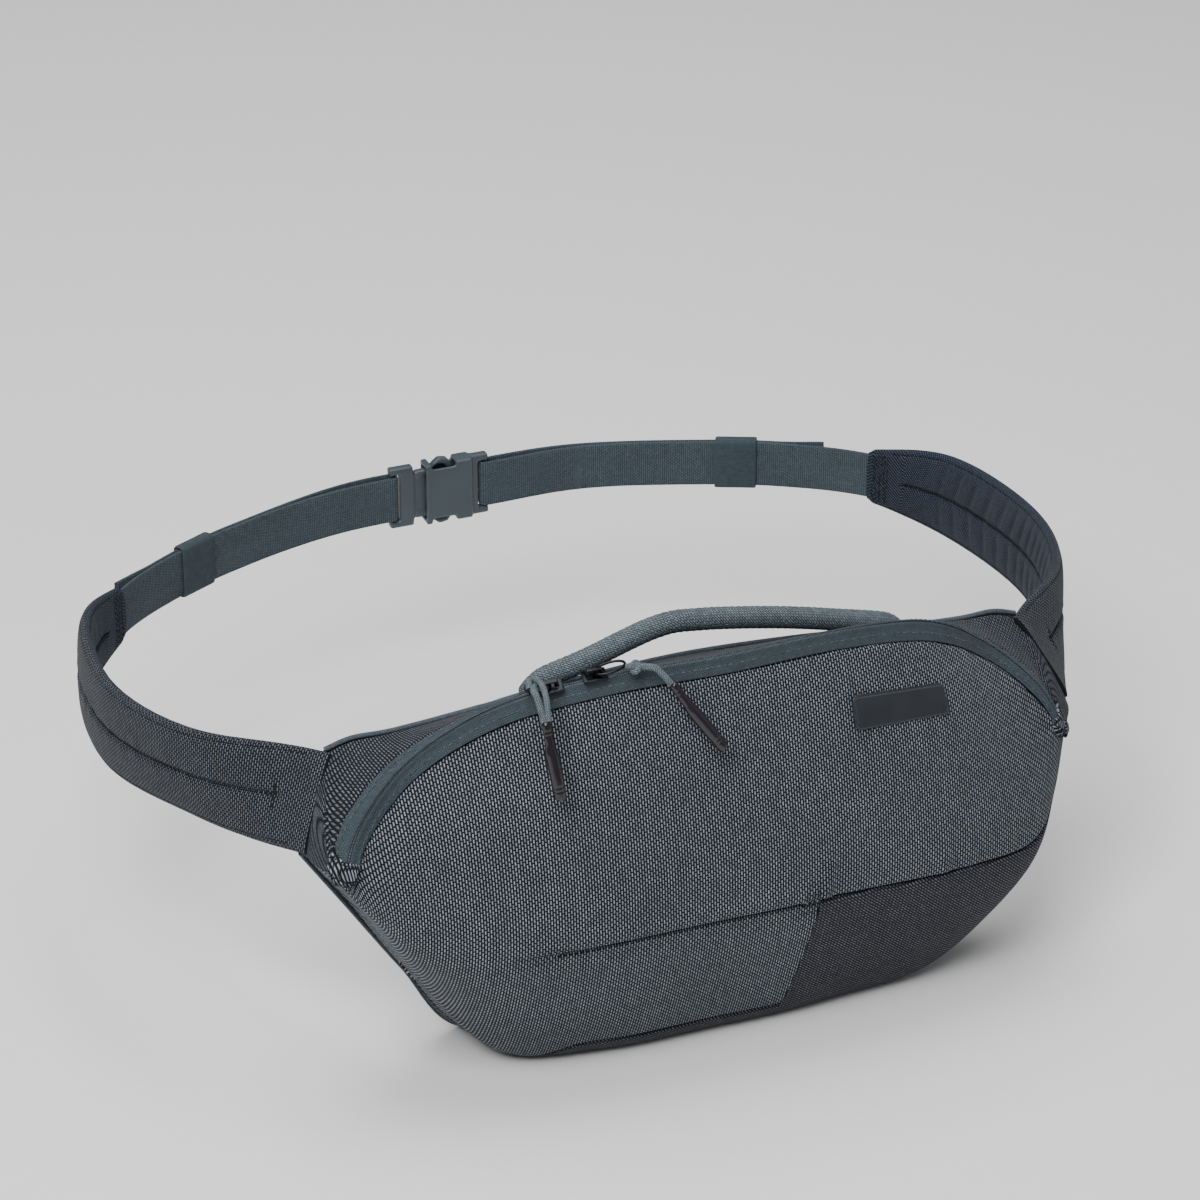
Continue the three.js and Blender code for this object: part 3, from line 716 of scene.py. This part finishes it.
def addZipEnds():
    (u0, u1), (w0, w1), lift = zipEnd["u"], zipEnd["w"], zipEnd["lift"]
    ends = u0 + zipEnd["marginU"], u1 - zipEnd["marginU"]
    edges = w0 + zipEnd["marginW"], w1 - zipEnd["marginW"]
    for name, side in [("left", -1), ("right", 1)]:
        u, w = panelGrid(np.linspace(*sorted((side * u0, side * u1)), 24), w0, w1, edgeSteps(60))
        ground = skin(u, w)
        height = lift * mm - turnUnder(ground, 0.001)
        grid = ground + skinNormal(u, w) * height[..., None]
        piece = sheetMesh(f"zip_end_{name}_cloth", grid, clothUv(u, w), "panel", 0.0009)
        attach(piece, "bag")
        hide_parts(f"zip_end_patch_{name}")
        seams = [seamOn(side * end, np.linspace(*edges, 60), lift) for end in ends]
        seams += [seamOn(side * np.linspace(*ends, 16), edge, lift) for edge in edges]
        addStitches(f"zip_end_{name}_stitches", "bag", "darkThread", seams, 2.2, 1.7, 0.3)


addZip()
addZipEnds()
print("zip done")


# A plain moulded rubber patch with rounded corners and a low rim.
badgeShape = {
    "u": (1.02, 1.98), "w": (4.27, 4.53), "corner": 3.0,
    # inset and height of each ring of points, in mm
    "profile": [(0, 0.2), (0, 0.9), (0.12, 1.25), (0.4, 1.5), (1.0, 1.5), (1.25, 1.35), (1.45, 1.15),
                (1.8, 1.1)],
}


def addBadge():
    (u0, u1), (w0, w1) = badgeShape["u"], badgeShape["w"]
    width = lengths(skin(np.linspace(u0, u1, 20), (w0 + w1) / 2))[-1] / mm
    height = lengths(skin((u0 + u1) / 2, np.linspace(w0, w1, 20)))[-1] / mm
    rings = []
    for inset, lift in badgeShape["profile"]:
        ring = roundedRing(width / 2, height / 2, badgeShape["corner"], inset)[0]
        rings.append(np.column_stack([ring, np.full(len(ring), lift)]))
    rings = np.array(rings)
    u = u0 + (u1 - u0) * (rings[..., 0] / width + 0.5)
    w = w0 + (w1 - w0) * (rings[..., 1] / height + 0.5)
    points = skin(u, w) + skinNormal(u, w) * rings[..., 2:] * mm
    n, m = points.shape[:2]
    quads, places = quadGrid(n, m, wrap=True)
    uv = rings[..., :2] * mm
    piece = makeMesh("badge_plate", points, quads, uv[places[0], places[1] % m], "badge",
                     endCaps(n, m), closed=True)
    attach(piece, "bag")
    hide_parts("blank_badge")


addBadge()


# The grab handle: a thick braided rope sewn into the back seam at both ends.
handleShape = {
    "path": [(-78, 16.5, 171), (-69, 12, 179.5), (-50, 9, 186.5), (-17, 8, 197), (5, 9, 196),
             (43, 11.5, 188), (78, 14.5, 178), (102, 16, 170.5), (110, 18.5, 163)],
    "radius": 5.1,
    "strand": 3.6,
    "relief": 0.45,
}


def tubeFrames(path, n):
    t = np.linspace(0, len(path) - 1, n)
    at = spline(np.array(path, float) * mm, t)
    along = unit(np.gradient(at, axis=0))
    out = unit(np.cross(along, np.array([0.0, 0.0, 1.0]) + 0.01))
    return at, out, unit(np.cross(out, along))


# A braid's section at each place: strands cross and stand proud of the gaps.
def braidSection(at, radius, strand, relief, sides=48):
    s = lengths(at)[:, None] / mm
    a = np.linspace(0, 2 * math.pi, sides, endpoint=False)[None, :]
    count = max(2, round(2 * math.pi * radius / strand / 1.4))
    one = np.sin(count * a + 2 * math.pi * s / (strand * 1.9))
    two = np.sin(count * a - 2 * math.pi * s / (strand * 1.9))
    r = radius + relief * (np.abs(one * two) ** 0.5 - 0.6)
    return np.stack([r * np.cos(a), r * np.sin(a)], -1) * mm


def addHandle():
    at, out, up = tubeFrames(handleShape["path"], 420)
    section = braidSection(at, handleShape["radius"], handleShape["strand"], handleShape["relief"])
    s = lengths(at)
    tip = np.minimum(s, s[-1] - s)
    section = section * (0.45 + 0.55 * np.sqrt(np.clip(tip / 0.012, 0, 1)))[:, None, None]
    piece = sweep("handle_rope", at, out, up, section, "rope")
    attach(piece, "handle")
    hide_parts("grab_handle")


addHandle()
print("badge and handle done")

# The belt's line on the right side, from the bag's seam to the middle of the back, in mm.
belt = {
    "at": [(180.5, 10, 141), (217, 67, 132.5), (237, 137, 124), (229, 208, 121), (200, 246, 121),
           (168, 270, 121), (129, 291, 120), (63, 314, 119), (0, 316, 119)],
    "width": [46, 46, 52, 49, 30, 25, 25, 25, 25],
    "up": [(-0.41, 0.41, 0.82), (0, 0, 1), (0, -0.2, 0.97), (0, -0.15, 0.98)] + [(0, 0, 1)] * 5,
}
sides = {"left": -1, "right": 1}


def beltFrames(t, side):
    flip = np.array([side, 1, 1])
    t = np.asarray(t, float)
    at = spline(belt["at"], t) * flip * mm
    ahead = (spline(belt["at"], t + 0.02) - spline(belt["at"], t - 0.02)) * flip
    up = unit(spline(belt["up"], t) * flip)
    width = spline(np.array(belt["width"], float)[:, None], t)[:, 0]
    return at, unit(np.cross(ahead, up)) * side, up, width


beltPlaces = np.linspace(0, 8, 400)
beltRun = lengths(beltFrames(beltPlaces, 1)[0]) / mm


# Each wing is one padded piece: cloth outside, smooth nylon inside, quilted down the middle.
wingShape = {
    "from": -0.06, "to": 3.97, "half": 3.3, "edge": 0.9,
    "quilt": (0.28, 3.5), "groove": 1.7, "grooveWidth": 0.035, "gather": 1.3,
    # points across it: from, to and how many, closest at the edges and the quilting
    "across": [(-0.5, -0.4, 9), (-0.4, -0.1, 12), (-0.1, 0.1, 21), (0.1, 0.4, 12), (0.4, 0.5, 9)],
    "hinge": {"before": 0.62, "after": 1.42},
}


def wingSurface(t, h, side, face):
    at, out, up, width = beltFrames(t, side)
    s = np.interp(t, beltPlaces, beltRun)[:, None]
    t, h = np.asarray(t)[:, None], np.asarray(h)[None, :]
    ends = smooth(t, 0.0, 0.6) * 0.6 + 0.4 - 0.5 * smooth(t, 3.45, 3.97)
    body = wingShape["half"] * np.clip(1 - np.abs(2 * h) ** 3.2, 0, 1) ** 0.55
    first, last = wingShape["quilt"]
    quilted = smooth(t, first - 0.06, first) * smooth(-t, -last - 0.06, -last)
    body = body - quilted * wingShape["groove"] * hump(h, 0, wingShape["grooveWidth"])
    body = body + quilted * 0.22 * np.sin(s / 2.1) * hump(np.abs(h), 0.07, 0.06)
    body = body - 0.5 * hump(np.abs(h), 0.44, 0.014) - 1.3 * hump(t, 0.25, 0.02) * hump(h, 0, 0.13)
    if face < 0:
        bent = smooth(t, 0.5, 1.2) * smooth(-t, -3.5, -2.6)
        fold = np.abs(np.sin(s / 3.7 + 0.8 * np.sin(s / 19) + 2.4 * np.abs(h))) ** 6
        wave = (0.35 - fold) * hump(np.abs(h), 0.2, 0.17)
        body = body + wingShape["gather"] * bent * wave
    thick = np.maximum(wingShape["edge"] * np.clip(1 - np.abs(2 * h) ** 14, 0, 1) ** 0.5, 0) + body * ends
    drop = (0.5 - 0.06 * smooth(t, 3.86, 3.97) ** 2) * 2
    return (at[:, None] + out[:, None] * (face * thick)[..., None] * mm
            + up[:, None] * (h * width[:, None] * drop)[..., None] * mm)


# Rows of zigzag stitching hold the webbing in the wing's tip.
def tipZigzag(side, face):
    line, levels = [], np.linspace(-0.4, 0.4, 19)
    for k, place in enumerate((3.74, 3.81, 3.88)):
        row = levels if k % 2 == 0 else levels[::-1]
        for j, level in enumerate(row):
            t = place + 0.022 * (-1) ** j
            line.append(wingSurface(np.array([t, t + 0.001]), [level], side, face)[0, 0])
    line = np.array(line)
    return line, np.repeat(beltFrames([3.81], side)[1] * face, len(line), axis=0)


def addWings():
    h = np.concatenate([np.linspace(*span)[:-1] for span in wingShape["across"]] + [[0.5]])
    t = np.linspace(wingShape["from"], wingShape["to"], 420)
    for name, side in sides.items():
        outer, inner = wingSurface(t, h, side, 1), wingSurface(t, h, side, -1)
        loop = np.concatenate([outer, inner[:, -2:0:-1]], axis=1)
        n, m = loop.shape[:2]
        quads, places = quadGrid(n, m, wrap=True)
        s = np.repeat(lengths(beltFrames(t, side)[0])[:, None], m + 1, axis=1)
        round_ = lengths(np.concatenate([loop, loop[:, :1]], axis=1), axis=1)
        uv = np.stack([s, round_ - round_[n // 2, len(h) // 2]], -1)
        piece = makeMesh(f"wing_{name}_pad", loop, quads, uv[places], "wing",
                         endCaps(n, m), closed=True)
        piece.data.materials.append(looks["inner"])
        isInner = (places[1][:, 0] >= len(h) - 1).astype(np.int32)
        piece.data.polygons.foreach_set("material_index", np.concatenate([isInner, [0, 0]]))
        nodes = [f"{part}_{layer}_{name}" for part in ("wing", "wing_root")
                 for layer in ("outer", "foam", "inner")]
        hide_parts(*nodes)
        seams, inside = [], []
        for face, rows in ((1, seams), (-1, inside)):
            rows.append(tipZigzag(side, face))
            for level, first, last in ((0.012, *wingShape["quilt"]), (-0.012, *wingShape["quilt"]),
                                       (0.44, 0.1, 3.7), (-0.44, 0.1, 3.7)):
                line = np.linspace(first, last, 300)
                surface = wingSurface(line, [level - 0.004, level, level + 0.004], side, face)
                rows.append((surface[:, 1], beltFrames(line, side)[1] * face))
            start = wingShape["quilt"][0]
            cross = wingSurface(np.array([start - 0.01, start]), np.linspace(-0.14, 0.14, 9), side, face)[1]
            rows.append((cross, np.repeat(beltFrames([start], side)[1] * face, 9, axis=0)))
        stitched = [
            addStitches(f"wing_{name}_stitches", None, "darkThread", seams, 3.0, 2.3, 0.3),
            addStitches(f"wing_{name}_inner_stitches", None, "darkThread", inside, 2.6, 2.1, 0.32),
        ]
        hinge = wingShape["hinge"]
        start, end = (beltFrames([hinge[k]], side)[0][0] for k in ("before", "after"))
        for cloth in [piece, *stitched]:
            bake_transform(cloth)


addWings()
print("wings done")


# Webbing goes from the wing round the buckle's bar and back outside to a free tail.
webbing = {
    "width": 25, "thickness": 1.5, "pitch": 2.2, "start": 3.72, "bar": 2.8, "buckle": (-11, 316, 119),
    "left": {"barX": -36.6, "tail": 4.1, "keeper": 5.45},
    "right": {"barX": 14.6, "tail": 4.6, "keeper": 5.7},
    "bend": {"before": 3.88, "after": 4.24},
}


def webbingPath(name):
    side, strap = sides[name], webbing[name]
    barT = 8 - abs(strap["barX"]) / 63
    reach = webbing["bar"] / 2 + 1.4
    z = np.array([0, 0, 1.0])

    def layer(t, shift):
        at = beltFrames(t, side)[0]
        ahead = unit(spline(belt["at"], t + 0.02) - spline(belt["at"], t - 0.02)) * np.array([side, 1, 1])
        out = np.cross(ahead, z) * side
        return at + out * shift[:, None] * mm

    inner = np.linspace(webbing["start"], barT - 0.02, 160)
    nearBar = smooth(inner, barT - 1.2, barT - 0.1)
    turn = np.radians(np.linspace(-90, 90, 17))
    bar = np.array([strap["barX"], *webbing["buckle"][1:]]) * mm
    loop = bar + np.stack([-side * np.cos(turn), np.sin(turn), 0 * turn], -1) * reach * mm
    outer = np.linspace(barT - 0.02, strap["tail"], 160)
    spread = webbing["pitch"] + (reach - webbing["pitch"]) * smooth(outer, barT - 1.2, barT - 0.1)
    flare = 8 * np.maximum(0, strap["tail"] + 0.6 - outer) ** 1.5
    return np.concatenate([layer(inner, -reach * nearBar), loop, layer(outer, spread + flare)])


def addWebbing():
    half, t = webbing["width"] / 2, webbing["thickness"] / 2
    quarter = np.array([(1, 0), (1, 0.6), (1, 0.93), (0.75, 0.985), (0.3, 1)]) * [t, half]
    right = np.concatenate([quarter, (quarter * [-1, 1])[::-1]])
    section = np.concatenate([right, (right * [1, -1])[-2:0:-1]])
    for name, side in sides.items():
        at = webbingPath(name)
        s = lengths(at)
        even = np.linspace(0, s[-1], int(s[-1] / 0.0016))
        at = readAt(even, s, at)
        along = unit(np.gradient(at, axis=0))
        up = np.broadcast_to([0, 0, 1.0], at.shape)
        out = unit(np.cross(along, up))
        piece = sweep(f"webbing_{name}_strap", at, out, up, section * mm, "webbing")
        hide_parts(f"webbing_{name}")
        seams = []
        for inset in (1.6, 4.2, 6.8):
            place = int(np.argmin(np.abs((s[-1] - even) - inset * mm)))
            row = at[place] + np.linspace(-half + 1.5, half - 1.5, 12)[:, None] * np.array([0, 0, mm])
            normal = np.repeat(out[place:place + 1], 12, axis=0)
            seams += [(row + face * normal * t * mm, face * normal) for face in (1, -1)]
        stitches = addStitches(f"webbing_{name}_hem", None, "thread", seams, 2.4, 1.9, 0.26)
        for cloth in (piece, stitches):
            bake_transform(cloth)


# Elastic keepers: flat loops that hold both layers of webbing. The depth and height are half sizes.
keeperShape = {"length": 22, "wall": 1.3, "depth": 2.9, "height": 13.6, "corner": 2.2}


def addKeepers():
    for name, side in sides.items():
        t = webbing[name]["keeper"]
        at = beltFrames([t], side)[0][0]
        x = unit(beltFrames([t + 0.02], side)[0][0] - beltFrames([t - 0.02], side)[0][0])
        z = np.array([0, 0, 1.0])
        y = unit(np.cross(z, x))
        y = y * np.sign(y[1])
        middle = at + y * webbing["pitch"] / 2 * mm
        ring, normal = roundedRing(*(keeperShape[size] for size in ("depth", "height", "corner")))
        at = middle + (ring[:, :1] * y + ring[:, 1:] * z) * mm
        out = normal[:, :1] * y + normal[:, 1:] * z
        half, wall = keeperShape["length"] / 2, keeperShape["wall"] / 2
        edge = np.array([
            (1, -half + 1), (1, -half / 2), (1, 0), (1, half / 2), (1, half - 1), (0.5, half - 0.2),
            (-0.5, half - 0.2), (-1, half - 1), (-1, 0), (-1, -half + 1), (-0.5, -half + 0.2),
            (0.5, -half + 0.2),
        ]) * [wall, 1] * mm
        x = np.broadcast_to(x, at.shape)
        piece = sweep(f"keeper_{name}_elastic", at, out, x, edge, "elastic", ring=True)
        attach(piece, f"keeper_{name}")
        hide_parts(f"keeper_{name}")


addWebbing()
addKeepers()
print("webbing done")


# A hard part keeps its CAD form, with its edges rounded as a mould or a tumbler leaves them.
def roundedCopy(node, name, body, look, slot, bevel=0, rounds=0, grid=0, ease=0, filled=None):
    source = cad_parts[node]
    edit = bmesh.new()
    edit.from_mesh(source.data)
    bmesh.ops.remove_doubles(edit, verts=edit.verts, dist=1e-6)
    if bevel:
        bmesh.ops.dissolve_limit(edit, angle_limit=math.radians(2), verts=edit.verts, edges=edit.edges)
    if filled:
        low, high = (Vector(corner) * mm for corner in filled)
        made = bmesh.ops.create_cube(edit, size=1)["verts"]
        for vert in made:
            vert.co = Vector([high[k] if vert.co[k] > 0 else low[k] for k in range(3)])
    mesh = bpy.data.meshes.new(name)
    edit.to_mesh(mesh)
    edit.free()
    piece = newObject(name, mesh)
    for wanted, kind, settings in [
        (bevel, "BEVEL", {"width": bevel * mm, "segments": 3, "angle_limit": math.radians(25),
                          "harden_normals": True}),
        (grid, "REMESH", {"mode": "VOXEL", "voxel_size": grid * mm}),
        (ease, "SMOOTH", {"factor": 0.6, "iterations": ease}),
        (rounds, "SUBSURF", {"levels": rounds, "render_levels": rounds}),
    ]:
        if wanted:
            modifier = piece.modifiers.new(kind, kind)
            for key, value in settings.items():
                setattr(modifier, key, value)
    piece.data.polygons.foreach_set("use_smooth", [True] * len(piece.data.polygons))
    applyModifiers(piece)
    piece.data.materials.clear()
    piece.data.materials.append(looks[look])
    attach(piece, body)
    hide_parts(node)


moulding = {"look": "buckle", "slot": "buckle_plastic", "grid": 0.45, "ease": 32}
casting = {"look": "metal", "slot": "slider_metal"}
hardParts = {
    # the floor of the recess between the two halves fills what would be open beside the tongue
    "buckle_male_base": {"body": "strap_left", "filled": ((-26, 314.3, 106), (-17.6, 317.6, 132)), **moulding},
    "buckle_arm_upper": {"body": "strap_left", **moulding},
    "buckle_arm_lower": {"body": "strap_left", **moulding},
    "buckle_female": {"body": "strap_right", **moulding},
    "zip_slider_left": {"body": "slider_left", "bevel": 0.45, **casting},
    "zip_slider_right": {"body": "slider_right", "bevel": 0.45, **casting},
    "pull_bail_left": {"body": "bail_left", "rounds": 2, **casting},
    "pull_bail_right": {"body": "bail_right", "rounds": 2, **casting},
}
for node, part in hardParts.items():
    roundedCopy(node, node + "_shell", **part)
print("buckle and sliders done")


# Each pull is a braided cord on the bail with a moulded sheath over its ends.
pulls = {
    "left": {
        "cord": [(-90.5, -31.5, 202.5), (-92.5, -37, 203.5), (-92.5, -43, 201)],
        "sheath": [(-91.4, -47.6, 194), (-90.6, -51.5, 183), (-89.5, -56, 170), (-88.5, -58.8, 160)],
    },
    "right": {
        "cord": [(-45, -35.5, 205), (-40, -38, 205.5), (-35, -41.5, 203.5)],
        "sheath": [(-31, -45, 199.2), (-25, -50, 189), (-17.5, -54.5, 178), (-11, -58, 168.5)],
    },
    "cordRadius": 1.5,
    "sheathRadius": 2.9,
    # the left cord's second strand goes over the bail and down beside the first
    "loop": [(-93.6, -34.5, 203.2), (-92, -29.8, 204.8), (-89.5, -28.8, 204.2), (-87.6, -31, 204),
             (-87.8, -36, 203.8), (-88.6, -42, 201.2), (-90, -48, 193.5)],
    "knot": {"middle": (-44.9, -35.7, 205), "size": 1.05, "radius": 1.3},
}


def addLoop(body):
    at, out, up = tubeFrames(pulls["loop"], 120)
    loop = sweep("pull_left_loop", at, out, up, braidSection(at, 1.4, 2.0, 0.12, 24), "cord")
    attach(loop, body)
    return loop


def addKnot(body):
    knot = pulls["knot"]
    a = np.linspace(0, 2 * math.pi, 121)[:-1]
    form = np.stack([np.sin(a) + 2 * np.sin(2 * a), np.cos(a) - 2 * np.cos(2 * a), -np.sin(3 * a)], -1)
    at = (np.array(knot["middle"]) + form * knot["size"]) * mm
    along = unit(np.roll(at, -1, axis=0) - np.roll(at, 1, axis=0))
    out = unit(np.cross(along, unit(at - at.mean(axis=0) + 1e-6)))
    section = braidSection(at, knot["radius"], 2.0, 0.1, 20)
    piece = sweep("pull_right_knot", at, out, unit(np.cross(out, along)), section, "cord", ring=True)
    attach(piece, body)
    return piece


def addPulls():
    turn = np.linspace(0, 2 * math.pi, 25)[:-1]
    for name in sides:
        body = f"pull_{name}"
        route = pulls[name]["cord"] + pulls[name]["sheath"][1:]
        at, out, up = tubeFrames(route, 160)
        section = braidSection(at, pulls["cordRadius"], 2.0, 0.12, 24)
        cord = sweep(f"pull_{name}_cord", at, out, up, section, "cord")
        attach(cord, body)
        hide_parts(f"pull_cord_{name}")
        middle, side, front = tubeFrames(pulls[name]["sheath"], 90)
        s = lengths(middle)
        share = s / s[-1]
        radius = 0.74 + 0.26 * smooth(share, 0.28, 0.42) - 0.08 * smooth(share, 0.8, 1)
        radius = pulls["sheathRadius"] * radius
        ends = np.minimum(s, s[-1] - s) / mm
        radius = radius * np.sqrt(np.clip(1 - (1 - np.clip(ends / 1.6, 0, 1)) ** 2, 0.08, 1))
        radius = radius - 0.25 * hump(ends, 4.5, 0.5) - 0.25 * hump(ends, 6.3, 0.5)
        section = radius[:, None, None] * np.stack([np.cos(turn), np.sin(turn)], -1) * mm
        sheath = sweep(f"pull_{name}_sheath", middle, side, front, section, "sheath")
        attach(sheath, body)
        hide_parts(f"pull_sheath_{name}")
        extra = addLoop(body) if name == "left" else addKnot(body)
        float(lengths(at)[-1])


addPulls()
print("pulls done")

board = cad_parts["back_board"]
board.data.materials.clear()
board.data.materials.append(looks["board"])
